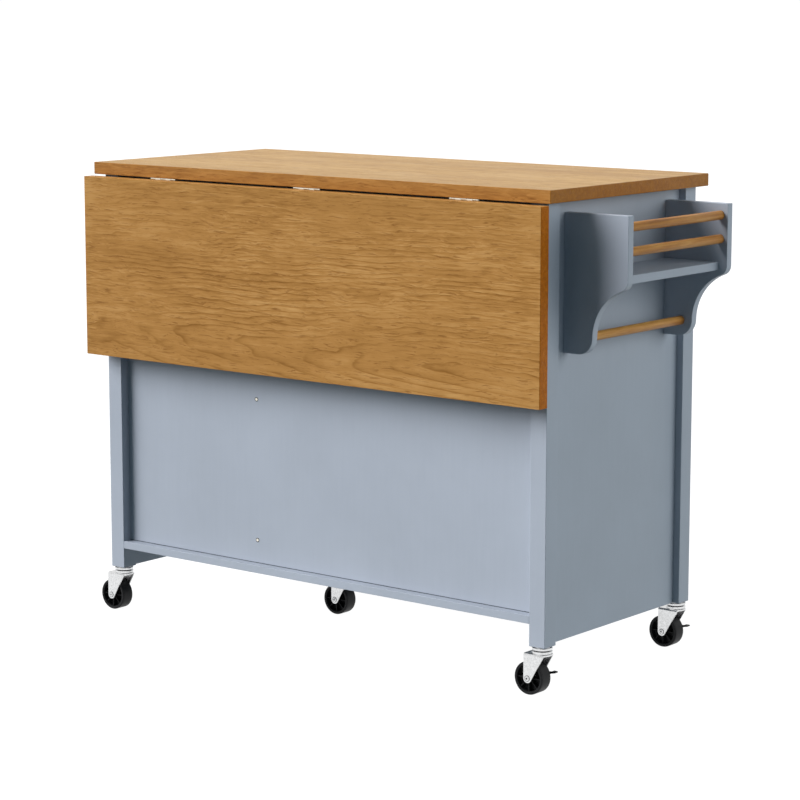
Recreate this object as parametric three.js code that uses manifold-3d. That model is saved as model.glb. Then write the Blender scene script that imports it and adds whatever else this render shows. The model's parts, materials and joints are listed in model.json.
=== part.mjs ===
// Kitchen island cart: a painted cabinet on five swivel casters, with a wooden worktop, a drop
// leaf on the rear side and a rack with rails on the left end. Millimetres, +Z up, -Y is the
// front with the doors and drawers, +X runs along the worktop. The origin is on the floor under
// the middle of the whole cart's bounding box.

import * as THREE from 'three';
import { mergeVertices } from 'three/addons/utils/BufferGeometryUtils.js';
import Module from 'manifold-3d';

const wasm = await Module();
wasm.setup();

// ---- driving dimensions ----

const height = 920;
const gap = 0.3;
const round = 16;

const top = { length: 1120, depth: 516, thick: 24 };
const body = { length: 1089, front: -238, rear: 242, base: 92 };
const post = { size: 35, stemBore: 4.3, boreDepth: 21 };
const panel = { recess: 14, thick: 14 };
const back = { recess: 20, thick: 12 };
const floorBoard = { base: 133, thick: 15 };
const divider = { centre: 162, thick: 14 };
const frontRail = { height: 30, thick: 18 };
const shelf = { base: 498, thick: 14, side: 1, front: -205, rear: 208 };

const leaf = { length: 1122, drop: 358, offset: 1, gap: 3.2, right: 3 };
const leafHinge = { width: 66, spacing: 370, plate: 1.4, reach: 32, knuckle: 1.55, pin: 0.7, knuckles: 5 };
const support = { x: 200, drop: 119, fromBack: 13, reach: 220, bar: 14, width: 12, pin: 3 };
const supportPlate = { half: 18, tall: 40, thick: 3, ear: 3, slack: 0.6 };

const front = { thick: 18, gap: 2, between: 3, frame: 52, sunk: 6 };
const drawer = { runner: 13, length: 410, wall: 12, floor: 8, height: 170, lift: 18 };
const knob = { length: 25, radius: 13, neck: 5.5, foot: 9, facets: 14, inset: 30, height: 760 };

const rack = { reach: 136.5, rear: 173, front: -171, thick: 16, top: 875, bottom: 622 };
const bracket = { nose: 19, cove: 96, foot: 30, neck: 62.5 };
const tray = { reach: 118.5, base: 751, thick: 15 };
const rail = { radius: 8.5, seat: 8, reach: 121, heights: [853, 809] };
const towelBar = { reach: 38, height: 651 };

const caster = { trail: 21, wheel: 31, axle: 4, race: 18.8, neck: 15, washer: 1.5, block: 60 };
const kingpin = { head: 7, tall: 4 };
const fork = {
  back: -12.7, front: 29.5, outer: 17, skirt: 5, plate: 2.5, crown: 78, raceTop: 85, boss: 8.5,
};
const wheel = { half: 13.8, hubHalf: 14, hub: 9, web: 3, rim: 25.5, edge: 1.5, facets: 24 };
const lever = { thick: 2.5, hub: 8, reach: 36.5, rise: 9, foot: 9, width: 9, blade: 3 };
const centreCaster = { x: 139, y: -27 };

// ---- dimensions worked out from them ----

const half = { top: top.length / 2, body: body.length / 2 };
const under = height - top.thick;
const postInner = half.body - post.size;
const panelOuter = half.body - panel.recess;
const panelInner = panelOuter - panel.thick;
const backOuter = body.rear - back.recess;
const backInner = backOuter - back.thick;
const frontInner = body.front + front.thick;
const floorTop = floorBoard.base + floorBoard.thick;
const openingTop = under - frontRail.height;
const dividerLeft = divider.centre - divider.thick / 2;
const dividerRight = divider.centre + divider.thick / 2;
const swivelX = half.body - post.size / 2;
const leafInner = top.depth / 2 + leaf.offset;
const hingeAxis = { y: leafInner - leaf.gap / 2, z: under - leaf.gap / 2 };
const centre = {
  x: (swivelX + caster.trail + caster.wheel - panelOuter - rack.reach) / 2,
  y: (leafInner + top.thick + body.front - knob.length) / 2,
};

// ---- materials ----

const paint = new THREE.MeshStandardMaterial({ color: 0x8b98a8, roughness: 0.5, metalness: 0 });
const oak = new THREE.MeshStandardMaterial({ color: 0xb07f4d, roughness: 0.45, metalness: 0 });
const dowelWood = new THREE.MeshStandardMaterial({ color: 0xb87038, roughness: 0.5, metalness: 0 });
const birch = new THREE.MeshStandardMaterial({ color: 0xcdb48c, roughness: 0.6, metalness: 0 });
const zinc = new THREE.MeshStandardMaterial({ color: 0xd9dadb, roughness: 0.3, metalness: 1 });
const nickel = new THREE.MeshStandardMaterial({ color: 0xb9b9b6, roughness: 0.3, metalness: 1 });
const blackPlastic = new THREE.MeshStandardMaterial({ color: 0x1e1f21, roughness: 0.5, metalness: 0 });

// ---- solids ----

// A closed mesh with shared vertices and no empty triangles, from any closed geometry.
function closed(geometry) {
  const bare = geometry.clone();
  bare.deleteAttribute('normal');
  bare.deleteAttribute('uv');
  const merged = mergeVertices(bare, 1e-4);
  const corners = merged.index.array;
  const kept = [];
  for (let i = 0; i < corners.length; i += 3) {
    const [a, b, c] = [corners[i], corners[i + 1], corners[i + 2]];
    if (a !== b && b !== c && c !== a) kept.push(a, b, c);
  }
  merged.setIndex(kept);
  return merged;
}

function toSolid(geometry) {
  const mesh = closed(geometry);
  return new wasm.Manifold(new wasm.Mesh({
    numProp: 3,
    vertProperties: new Float32Array(mesh.attributes.position.array),
    triVerts: new Uint32Array(mesh.index.array),
  }));
}

function toGeometry(solid) {
  const mesh = solid.getMesh();
  const geometry = new THREE.BufferGeometry();
  geometry.setAttribute('position', new THREE.BufferAttribute(new Float32Array(mesh.vertProperties), 3));
  geometry.setIndex(new THREE.BufferAttribute(new Uint32Array(mesh.triVerts), 1));
  geometry.computeVertexNormals();
  return geometry;
}

function join(...pieces) {
  return toGeometry(pieces.map(toSolid).reduce((whole, piece) => whole.add(piece)));
}

function cut(piece, ...tools) {
  return toGeometry(tools.map(toSolid).reduce((rest, tool) => rest.subtract(tool), toSolid(piece)));
}

// A box between two opposite corners.
function box(low, high) {
  const size = high.map((value, i) => value - low[i]);
  const geometry = new THREE.BoxGeometry(...size);
  return geometry.translate(...low.map((value, i) => value + size[i] / 2));
}

// A round bar of a radius, along one axis from one place to another, through a point.
function rod(axis, radius, from, to, at = [0, 0, 0], facets = round) {
  const geometry = new THREE.CylinderGeometry(radius, radius, to - from, facets);
  geometry.translate(0, (from + to) / 2, 0);
  if (axis === 'x') geometry.rotateZ(-Math.PI / 2);
  if (axis === 'z') geometry.rotateX(Math.PI / 2);
  return geometry.translate(...at);
}

// A turned solid about +Z, from a profile of radius and height that starts and ends on the axis.
function turned(profile, facets = round) {
  const points = profile.map(([radius, z]) => new THREE.Vector2(radius, z));
  return closed(new THREE.LatheGeometry(points, facets).rotateX(Math.PI / 2));
}

// A plate whose outline is drawn in X and Z, between two places along Y.
function plateXZ(outline, from, to) {
  const settings = { depth: to - from, bevelEnabled: false, curveSegments: 6 };
  const geometry = new THREE.ExtrudeGeometry(outline, settings);
  return closed(geometry.rotateX(Math.PI / 2).translate(0, to, 0));
}

// ---- placing ----

const cart = new THREE.Group();
cart.position.set(-centre.x, -centre.y, 0);

function place(name, geometry, material, parent = cart, at = [0, 0, 0]) {
  const mesh = new THREE.Mesh(geometry, material.clone());
  mesh.name = name;
  mesh.position.set(...at);
  parent.add(mesh);
  return mesh;
}

// ---- worktop and cabinet ----

place('worktop', box(
  [-half.top, -top.depth / 2, under],
  [half.top, top.depth / 2, height],
), oak);

const corners = [
  { name: 'front_left', x: -1, y: -1, brake: true },
  { name: 'front_right', x: 1, y: -1, brake: false },
  { name: 'rear_left', x: -1, y: 1, brake: true },
  { name: 'rear_right', x: 1, y: 1, brake: false },
];

// An upright square block about its own axis, bored from below for a caster's stem.
function boredBlock(half, topFace) {
  return cut(
    box([-half, -half, body.base], [half, half, topFace]),
    rod('z', post.stemBore, body.base - 1, body.base + post.boreDepth),
  );
}

for (const corner of corners) {
  corner.swivel = [
    corner.x * swivelX,
    corner.y > 0 ? body.rear - post.size / 2 : body.front + post.size / 2,
    0,
  ];
  place(`post_${corner.name}`, boredBlock(post.size / 2, under), paint, cart, corner.swivel);
}

for (const [side, sign] of [['left', -1], ['right', 1]]) {
  const low = Math.min(sign * panelOuter, sign * panelInner);
  place(`end_panel_${side}`, box(
    [low, body.front + post.size, body.base],
    [low + panel.thick, body.rear - post.size, under],
  ), paint);
}

place('back_panel', box(
  [-postInner, backInner, floorTop],
  [postInner, backOuter, under],
), paint);

// The bottom board runs from end panel to end panel and is notched around the four posts.
function bottomBoard() {
  const whole = box([-panelInner, body.front, floorBoard.base], [panelInner, body.rear, floorTop]);
  const notches = corners.map(({ x, y }) => {
    const [near, far] = y > 0
      ? [body.rear - post.size, body.rear + 1]
      : [body.front - 1, body.front + post.size];
    const [low, high] = x > 0
      ? [postInner, panelInner + 1]
      : [-panelInner - 1, -postInner];
    return box([low, near, floorBoard.base - 1], [high, far, floorTop + 1]);
  });
  return cut(whole, ...notches);
}

place('bottom_board', bottomBoard(), paint);

const uprightBoard = box(
  [dividerLeft, body.front, floorTop],
  [dividerRight, backInner, under],
);
const railNotch = box(
  [dividerLeft - 1, body.front - 1, openingTop],
  [dividerRight + 1, frontInner, under + 1],
);
place('divider', cut(uprightBoard, railNotch), paint);

place('front_rail', box(
  [-postInner, body.front, openingTop],
  [postInner, frontInner, under],
), paint);

place('cabinet_shelf', box(
  [-postInner + shelf.side, shelf.front, shelf.base],
  [dividerLeft - shelf.side, shelf.rear, shelf.base + shelf.thick],
), paint);

// ---- doors and drawers ----

// A front with a sunk centre field; its front face is at y = 0 and it is centred on x and z.
function framedFront(width, tall) {
  const slab = box([-width / 2, 0, -tall / 2], [width / 2, front.thick, tall / 2]);
  const field = { x: width / 2 - front.frame, z: tall / 2 - front.frame };
  return cut(slab, box([-field.x, -1, -field.z], [field.x, front.sunk, field.z]));
}

// A mushroom knob that stands out towards -Y from a front face at y = 0.
function knobSolid() {
  const { length, radius, neck, foot } = knob;
  return turned([
    [0, 0], [foot, 0], [neck, 4], [neck, length * 0.5], [radius * 0.8, length * 0.62],
    [radius, length * 0.78], [radius * 0.8, length * 0.94], [radius * 0.4, length], [0, length],
  ], knob.facets).rotateX(Math.PI / 2);
}

const openingBase = floorTop + front.gap;
const openingHigh = openingTop - front.gap;
const openingMiddle = (openingBase + openingHigh) / 2;
const doorWidth = (dividerLeft + postInner - 3 * front.gap) / 2;

for (const [side, sign] of [['left', -1], ['right', 1]]) {
  const meeting = (dividerLeft - postInner) / 2;
  const x = meeting + sign * (doorWidth + front.gap) / 2;
  place(`door_${side}`, framedFront(doorWidth, openingHigh - openingBase), paint, cart,
    [x, body.front, openingMiddle]);
  const knobX = meeting + sign * (front.gap / 2 + knob.inset);
  place(`door_knob_${side}`, knobSolid(), nickel, cart, [knobX, body.front, knob.height]);
}

const drawerWidth = postInner - dividerRight - 2 * front.gap;
const drawerX = (postInner + dividerRight) / 2;
const drawerTall = (openingHigh - openingBase - 2 * front.between) / 3;

// An open box, its front wall's outer face at y = 0, centred on x and standing on z = 0.
function drawerTray() {
  const width = postInner - dividerRight - 2 * drawer.runner;
  const whole = box([-width / 2, 0, 0], [width / 2, drawer.length, drawer.height]);
  const inner = width / 2 - drawer.wall;
  return cut(whole, box(
    [-inner, drawer.wall, drawer.floor],
    [inner, drawer.length - drawer.wall, drawer.height + 1],
  ));
}

['bottom', 'middle', 'top'].forEach((level, i) => {
  const base = openingBase + i * (drawerTall + front.between);
  const middle = base + drawerTall / 2;
  place(`drawer_front_${level}`, framedFront(drawerWidth, drawerTall), paint, cart,
    [drawerX, body.front, middle]);
  place(`drawer_box_${level}`, drawerTray(), birch, cart, [drawerX, frontInner, base + drawer.lift]);
  place(`drawer_knob_${level}`, knobSolid(), nickel, cart, [drawerX, body.front + front.sunk, middle]);
});

// ---- rack on the left end ----

// The bracket's outline, drawn with x as the reach from the end panel and y as the height: a
// rounded nose, a long cove that touches it, and a quarter-round foot below the narrow neck.
function bracketOutline() {
  const { nose, cove, foot, neck } = bracket;
  const footZ = rack.bottom + foot;
  const noseX = rack.reach - nose;
  const coveX = neck + cove;
  const noseZ = footZ + Math.sqrt((cove + nose) ** 2 - (coveX - noseX) ** 2);
  const touch = Math.atan2(noseZ - footZ, noseX - coveX);
  const outline = new THREE.Shape();
  outline.moveTo(0, rack.bottom);
  outline.lineTo(0, rack.top);
  outline.lineTo(rack.reach, rack.top);
  outline.lineTo(rack.reach, noseZ);
  outline.absarc(noseX, noseZ, nose, 0, touch - Math.PI, true);
  outline.absarc(coveX, footZ, cove, touch, Math.PI, false);
  outline.absarc(neck - foot, footZ, foot, 0, -Math.PI / 2, true);
  outline.lineTo(0, rack.bottom);
  return outline;
}

const rackEnd = new THREE.Group();
rackEnd.position.set(-panelOuter, 0, 0);
rackEnd.rotation.z = Math.PI;
cart.add(rackEnd);

// The group is turned half a turn, so its +x is the reach and its y runs the other way.
const bars = [
  { name: 'rack_rail_upper', reach: rail.reach, height: rail.heights[0] },
  { name: 'rack_rail_lower', reach: rail.reach, height: rail.heights[1] },
  { name: 'towel_bar', reach: towelBar.reach, height: towelBar.height },
];
const rackInside = [-rack.rear + rack.thick, -rack.front - rack.thick];
const rackSeats = bars.map(({ reach, height: z }) => rod(
  'y', rail.radius + gap, rackInside[0] - rail.seat - gap, rackInside[1] + rail.seat + gap, [reach, 0, z],
));

place('rack_bracket_front', cut(
  plateXZ(bracketOutline(), rackInside[1], -rack.front), ...rackSeats,
), paint, rackEnd);
place('rack_bracket_rear', cut(
  plateXZ(bracketOutline(), -rack.rear, rackInside[0]), ...rackSeats,
), paint, rackEnd);
place('rack_shelf', box(
  [gap, rackInside[0] + gap, tray.base],
  [tray.reach, rackInside[1] - gap, tray.base + tray.thick],
), paint, rackEnd);
for (const { name, reach, height: z } of bars) {
  const bar = rod('y', rail.radius, rackInside[0] - rail.seat, rackInside[1] + rail.seat);
  place(name, closed(bar), dowelWood, rackEnd, [reach, 0, z]);
}

// ---- drop leaf, its hinges and its supports ----

place('drop_leaf', box(
  [leaf.right - leaf.length / 2, leafInner, under - leaf.gap - leaf.drop],
  [leaf.right + leaf.length / 2, leafInner + top.thick, under - leaf.gap],
), oak);

// Both hinge plates are drawn about the hinge pin. The fixed plate lies under the worktop, and
// its outer and middle knuckles carry the pin. The leaf plate's two knuckles turn on the pin.
function hingePlate(knuckleIndexes, fixed) {
  const { width, plate, reach, knuckle, pin, knuckles } = leafHinge;
  const step = width / knuckles;
  const face = leaf.gap / 2;
  const edge = knuckle + gap;
  const flat = fixed
    ? box([-width / 2, -reach, face - plate], [width / 2, -edge, face])
    : box([-width / 2, face - plate, -reach], [width / 2, face, -edge]);
  const pieces = [flat];
  for (const i of knuckleIndexes) {
    const from = -width / 2 + i * step + gap / 2;
    const to = from + step - gap;
    const tab = fixed
      ? box([from, -edge - 1, face - plate], [to, 0, knuckle])
      : box([from, face - plate, -edge - 1], [to, knuckle, 0]);
    pieces.push(tab, rod('x', knuckle, from, to, [0, 0, 0], 12));
  }
  if (fixed) return join(...pieces, rod('x', pin, -width / 2 + gap, width / 2 - gap, [0, 0, 0], 8));
  return cut(join(...pieces), rod('x', pin + gap, -width, width, [0, 0, 0], 8));
}

const hingePlaces = [['left', -1], ['centre', 0], ['right', 1]];
for (const [name, sign] of hingePlaces) {
  const at = [sign * leafHinge.spacing, hingeAxis.y, hingeAxis.z];
  place(`leaf_hinge_fixed_${name}`, hingePlate([0, 2, 4], true), nickel, cart, at);
  place(`leaf_hinge_moving_${name}`, hingePlate([1, 3], false), nickel, cart, at);
}

// A support base: a plate on the back panel with two ears and the strut's pin, about the pin.
function supportBase() {
  const { fromBack, width, bar, pin } = support;
  const { half: halfWide, tall, thick, ear, slack } = supportPlate;
  const inner = width / 2 + slack;
  const outer = inner + ear;
  const reach = bar / 2 + slack;
  const plate = box([-halfWide, -fromBack, -tall], [halfWide, thick - fromBack, tall]);
  const ears = [[-outer, -inner], [inner, outer]].map(
    ([low, high]) => box([low, thick / 2 - fromBack, -reach], [high, reach, reach]),
  );
  return join(plate, ...ears, rod('x', pin, -outer - slack, outer + slack));
}

// A strut: a flat bar with round ends that hangs down from its pin.
function supportStrut() {
  const { reach, bar, width, pin } = support;
  const r = bar / 2;
  const outline = new THREE.Shape();
  outline.moveTo(r, 0);
  outline.absarc(0, 0, r, 0, Math.PI, false);
  outline.lineTo(-r, -reach);
  outline.absarc(0, -reach, r, Math.PI, 2 * Math.PI, false);
  outline.lineTo(r, 0);
  const flatBar = plateXZ(outline, -width / 2, width / 2).rotateZ(Math.PI / 2);
  return cut(flatBar, rod('x', pin + gap, -width, width));
}

for (const [side, sign] of [['left', -1], ['right', 1]]) {
  const at = [sign * support.x, backOuter + support.fromBack, under - support.drop];
  place(`leaf_support_base_${side}`, supportBase(), nickel, cart, at);
  place(`leaf_support_strut_${side}`, supportStrut(), nickel, cart, at);
}

// ---- casters, each drawn about its swivel axis with the floor at z = 0 ----

// The stem, a neck, the upper race and the kingpin with its head under the fork.
function casterMount() {
  const { race, axle, neck } = caster;
  const head = fork.crown - fork.plate - gap;
  const raceBase = fork.raceTop + gap * 2;
  const washerBase = body.base - caster.washer;
  const stemTop = body.base + post.boreDepth - 1;
  return turned([
    [0, head - kingpin.tall], [kingpin.head, head - kingpin.tall], [kingpin.head, head], [axle, head],
    [axle, raceBase], [race, raceBase], [race, washerBase], [neck, washerBase],
    [neck, body.base], [axle, body.base], [axle, stemTop], [0, stemTop],
  ]);
}

// One leg of the fork: straight in front, slanted behind, and round below about the axle.
function legOutline() {
  const axle = { x: caster.trail, z: caster.wheel };
  const shoulder = fork.crown - fork.skirt;
  const away = { x: fork.back - axle.x, z: shoulder - axle.z };
  const tangent = Math.atan2(away.z, away.x) + Math.acos(fork.boss / Math.hypot(away.x, away.z));
  const outline = new THREE.Shape();
  outline.moveTo(fork.back, fork.crown);
  outline.lineTo(fork.front, fork.crown);
  outline.lineTo(fork.front, axle.z);
  outline.absarc(axle.x, axle.z, fork.boss, 0, tangent - 2 * Math.PI, true);
  outline.lineTo(fork.back, shoulder);
  outline.lineTo(fork.back, fork.crown);
  return outline;
}

function casterFork() {
  const { back: low, front: high, outer, plate, crown, raceTop } = fork;
  const axleAt = [caster.trail, 0, caster.wheel];
  const whole = join(
    plateXZ(legOutline(), outer - plate, outer),
    plateXZ(legOutline(), -outer, plate - outer),
    box([low, -outer, crown - plate], [high, outer, crown]),
    rod('z', caster.race, crown - plate, raceTop),
    rod('y', caster.axle, -outer - 2, outer + 2, axleAt),
  );
  return cut(whole, rod('z', caster.axle + gap, crown - 10, raceTop + 1));
}

// The wheel turns about +Y, drawn about its own centre: hub, thin web and a rounded tread.
function casterWheel() {
  const { half: halfWide, hubHalf, hub, web, rim, edge, facets } = wheel;
  const bore = caster.axle + gap;
  const tread = caster.wheel;
  const side = [
    [bore, hubHalf], [hub, hubHalf], [hub, web], [rim, web], [rim, halfWide],
    [tread - edge, halfWide], [tread, halfWide - edge],
  ];
  const profile = [...side.map(([r, y]) => [r, y]), ...side.reverse().map(([r, y]) => [r, -y])];
  const points = [...profile, profile[0]].map(([r, y]) => new THREE.Vector2(r, y));
  const geometry = new THREE.LatheGeometry(points.reverse(), facets);
  return closed(geometry);
}

// The brake lever turns on the axle outside the front leg, and ends in a foot tab.
function brakeLever() {
  const { thick, hub, reach, rise, foot, width, blade } = lever;
  const outline = new THREE.Shape();
  const slope = Math.atan2(rise, reach);
  outline.absarc(0, 0, hub, -Math.PI / 2 - slope, Math.PI / 2 - slope, false);
  outline.lineTo(-reach, rise + blade / 2);
  outline.lineTo(-reach, rise - blade / 2);
  outline.lineTo(-reach + foot, rise - blade);
  outline.closePath();
  const inner = -fork.outer - 2 - gap;
  const arm = plateXZ(outline, inner - thick, inner);
  const tab = box([-reach, inner - width, rise - blade / 2], [-reach + foot, inner, rise + blade / 2]);
  return cut(join(arm, tab), rod('y', caster.axle + gap, inner - width - 1, inner + 1));
}

const fifth = { name: 'centre', swivel: [centreCaster.x, centreCaster.y, 0], brake: false };
place('centre_block', boredBlock(caster.block / 2, floorBoard.base), paint, cart, fifth.swivel);

for (const { name, swivel, brake } of [...corners, fifth]) {
  const unit = new THREE.Group();
  unit.position.set(...swivel);
  cart.add(unit);
  const axleAt = [caster.trail, 0, caster.wheel];
  place(`caster_mount_${name}`, casterMount(), zinc, unit);
  place(`caster_fork_${name}`, casterFork(), zinc, unit);
  place(`caster_wheel_${name}`, casterWheel(), blackPlastic, unit, axleAt);
  if (brake) place(`brake_lever_${name}`, brakeLever(), blackPlastic, unit, axleAt);
}

export default cart;
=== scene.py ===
"""Kitchen island cart: the looks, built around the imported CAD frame. Metres, +Z up, -Y is the
front with the doors and drawers, the rack is on the -X end and the leaf hangs on the +Y side."""

import json
import math

import bmesh
import bpy
from mathutils import Matrix, Vector


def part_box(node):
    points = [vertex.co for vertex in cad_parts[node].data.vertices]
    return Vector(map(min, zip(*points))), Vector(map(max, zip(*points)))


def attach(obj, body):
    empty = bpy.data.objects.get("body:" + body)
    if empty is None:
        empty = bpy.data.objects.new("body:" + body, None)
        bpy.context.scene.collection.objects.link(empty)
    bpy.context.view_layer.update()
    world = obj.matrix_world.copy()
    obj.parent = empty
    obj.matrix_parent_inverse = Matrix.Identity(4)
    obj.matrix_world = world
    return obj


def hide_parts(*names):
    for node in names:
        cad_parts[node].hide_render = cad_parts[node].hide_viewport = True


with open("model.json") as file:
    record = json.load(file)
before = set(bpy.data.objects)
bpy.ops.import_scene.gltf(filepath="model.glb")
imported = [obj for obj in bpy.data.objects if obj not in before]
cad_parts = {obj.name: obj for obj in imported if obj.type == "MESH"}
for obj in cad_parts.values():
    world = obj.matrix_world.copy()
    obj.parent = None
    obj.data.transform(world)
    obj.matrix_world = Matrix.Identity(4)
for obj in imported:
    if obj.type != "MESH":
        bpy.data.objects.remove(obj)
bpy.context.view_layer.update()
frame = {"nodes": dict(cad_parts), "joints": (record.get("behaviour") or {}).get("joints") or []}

MM = 0.001
NODES = frame["nodes"]
JOINTS = {joint["name"]: joint for joint in frame["joints"]}
CORNERS = ("front_left", "front_right", "rear_left", "rear_right")
CASTERS = CORNERS + ("centre",)
BRAKED = ("front_left", "rear_left")
LEVELS = ("bottom", "middle", "top")
SIDES = ("left", "right")
HINGES = ("left", "centre", "right")


# ---- node-tree helpers ----

def new_material(name):
    """A material with one Principled shader, its tree and the shader."""
    material = bpy.data.materials.new(name)
    material.use_nodes = True
    tree = material.node_tree
    tree.nodes.clear()
    output = tree.nodes.new("ShaderNodeOutputMaterial")
    shader = tree.nodes.new("ShaderNodeBsdfPrincipled")
    tree.links.new(shader.outputs["BSDF"], output.inputs["Surface"])
    return material, tree, shader


def put(tree, socket, value):
    """Link an output into a socket, or set the socket's own value."""
    if isinstance(value, bpy.types.NodeSocket):
        tree.links.new(value, socket)
    else:
        socket.default_value = value


def math_of(tree, operation, a, b=0.0, clamp=False):
    made = tree.nodes.new("ShaderNodeMath")
    made.operation = operation
    made.use_clamp = clamp
    put(tree, made.inputs[0], a)
    put(tree, made.inputs[1], b)
    return made.outputs[0]


def product(tree, *terms, clamp=False):
    """The product of several values."""
    whole = terms[0]
    for term in terms[1:]:
        whole = math_of(tree, "MULTIPLY", whole, term, clamp=clamp)
    return whole


def total(tree, *terms, clamp=False):
    """The sum of several values."""
    whole = terms[0]
    for term in terms[1:]:
        whole = math_of(tree, "ADD", whole, term, clamp=clamp)
    return whole


def object_point(tree):
    """The point in the row frame: every mesh keeps its place in its vertices."""
    return tree.nodes.new("ShaderNodeTexCoord").outputs["Object"]


def axes_of(tree, point):
    split = tree.nodes.new("ShaderNodeSeparateXYZ")
    put(tree, split.inputs[0], point)
    return split.outputs


def stretched(tree, point, scale, offset=(0, 0, 0)):
    made = tree.nodes.new("ShaderNodeMapping")
    put(tree, made.inputs["Vector"], point)
    made.inputs["Scale"].default_value = scale
    made.inputs["Location"].default_value = offset
    return made.outputs["Vector"]


def noise(tree, point, scale, detail=2.0, roughness=0.5):
    made = tree.nodes.new("ShaderNodeTexNoise")
    put(tree, made.inputs["Vector"], point)
    made.inputs["Scale"].default_value = scale
    made.inputs["Detail"].default_value = detail
    made.inputs["Roughness"].default_value = roughness
    return made.outputs["Fac"]


def layer(tree, point, scales, detail=2.0, roughness=0.5, offset=(0, 0, 0)):
    """Noise with its own number of waves per metre along each axis."""
    return noise(tree, stretched(tree, point, scales, offset), 1.0, detail, roughness)


def remap(tree, value, from_min, from_max, to_min, to_max):
    made = tree.nodes.new("ShaderNodeMapRange")
    put(tree, made.inputs["Value"], value)
    numbers = {"From Min": from_min, "From Max": from_max, "To Min": to_min, "To Max": to_max}
    for key, number in numbers.items():
        made.inputs[key].default_value = number
    return made.outputs["Result"]


def swing(tree, value, amount):
    """A noise's usual range, about one half, turned into one from -amount to amount."""
    return remap(tree, value, 0.3, 0.7, -amount, amount)


def shifted(tree, point, value, amount):
    """A point moved by up to amount along every axis, by a value from 0 to 1."""
    made = tree.nodes.new("ShaderNodeCombineXYZ")
    shift = remap(tree, value, 0.0, 1.0, -amount, amount)
    for socket in made.inputs:
        put(tree, socket, shift)
    moved = tree.nodes.new("ShaderNodeVectorMath")
    moved.operation = "ADD"
    put(tree, moved.inputs[0], point)
    put(tree, moved.inputs[1], made.outputs["Vector"])
    return moved.outputs["Vector"]


def ramp(tree, value, stops):
    made = tree.nodes.new("ShaderNodeValToRGB")
    put(tree, made.inputs["Fac"], value)
    elements = made.color_ramp.elements
    while len(elements) < len(stops):
        elements.new(0.5)
    for element, (place, colour) in zip(elements, stops):
        element.position = place
        element.color = (*colour, 1.0)
    return made.outputs["Color"]


def even_stops(colours):
    """The stops of a ramp through three colours, a dark, a middle and a light one."""
    return list(zip((0.0, 0.5, 1.0), colours))


def mixed(tree, blend, amount, a, b):
    made = tree.nodes.new("ShaderNodeMix")
    made.data_type = "RGBA"
    made.blend_type = blend
    sockets = [socket for socket in made.inputs if socket.enabled]
    for socket, value in zip(sockets, (amount, a, b)):
        put(tree, socket, value if isinstance(value, (float, bpy.types.NodeSocket)) else (*value, 1.0))
    return next(socket for socket in made.outputs if socket.enabled)


def bumped(tree, shader, fields):
    """Chain bumps into the shader's normal: (height, strength, distance) each."""
    normal = None
    for height, strength, distance in fields:
        made = tree.nodes.new("ShaderNodeBump")
        made.inputs["Strength"].default_value = strength
        made.inputs["Distance"].default_value = distance
        put(tree, made.inputs["Height"], height)
        if normal is not None:
            tree.links.new(normal, made.inputs["Normal"])
        normal = made.outputs["Normal"]
    tree.links.new(normal, shader.inputs["Normal"])


# ---- materials ----

def oak_figure(tree, point, place, across, depth, tree_rings):
    """The year rings of flat-sawn oak: how late in its year a point grew, and how dark the line is.
    The log's centre runs nearly along X, and slow and quick waves bend the rings about it."""
    slow = layer(tree, point, (1.3, 5, 5), offset=(3.1, 1.7, 0.4))
    sway = remap(tree, slow, 0.0, 1.0, -tree_rings["sway"], tree_rings["sway"])
    quick = layer(tree, point, (9, 30, 30), 3.0)
    wobble = remap(tree, quick, 0.0, 1.0, -8 * MM, 8 * MM)
    bend = total(tree, sway, wobble)
    sideways = math_of(tree, "ABSOLUTE", total(tree, place[across], -tree_rings["across"], bend))
    lean = product(tree, place["X"], tree_rings["slope"])
    inwards = math_of(tree, "ABSOLUTE", total(tree, place[depth], -tree_rings["depth"], lean, bend))
    squares = [math_of(tree, "POWER", length, 2.0) for length in (sideways, inwards)]
    radius = math_of(tree, "SQRT", total(tree, *squares))
    age = math_of(tree, "FRACT", math_of(tree, "DIVIDE", radius, tree_rings["ring"]))
    closing = remap(tree, age, 0.92, 1.0, 1.0, 0.0)
    late = product(tree, math_of(tree, "POWER", age, 6.0), closing, clamp=True)
    breaks = remap(tree, layer(tree, point, (7, 20, 20), offset=(5, 5, 0)), 0.38, 0.6, 0.15, 1.0)
    fading = remap(tree, radius, *tree_rings["fade"], 1.0, 0.35)
    return age, product(tree, late, breaks, fading, clamp=True)


def end_grain(tree, point, place, span, ends):
    """Where a board's two ends are, and their dark and finely ringed colour."""
    middle, reach = (span[0] + span[1]) / 2, (span[1] - span[0]) / 2
    from_middle = math_of(tree, "ABSOLUTE", math_of(tree, "SUBTRACT", place["X"], middle))
    at_end = remap(tree, from_middle, reach - 1.6 * MM, reach - 0.2 * MM, 0.0, 1.0)
    rings = layer(tree, point, (1, 150, 150), 3.0, 0.6)
    tubes = layer(tree, point, (1, 1300, 1300), 1.0)
    tone = total(tree, remap(tree, rings, 0.3, 0.7, 0.25, 0.75), swing(tree, tubes, 0.2))
    return at_end, ramp(tree, tone, even_stops(ends))


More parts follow.
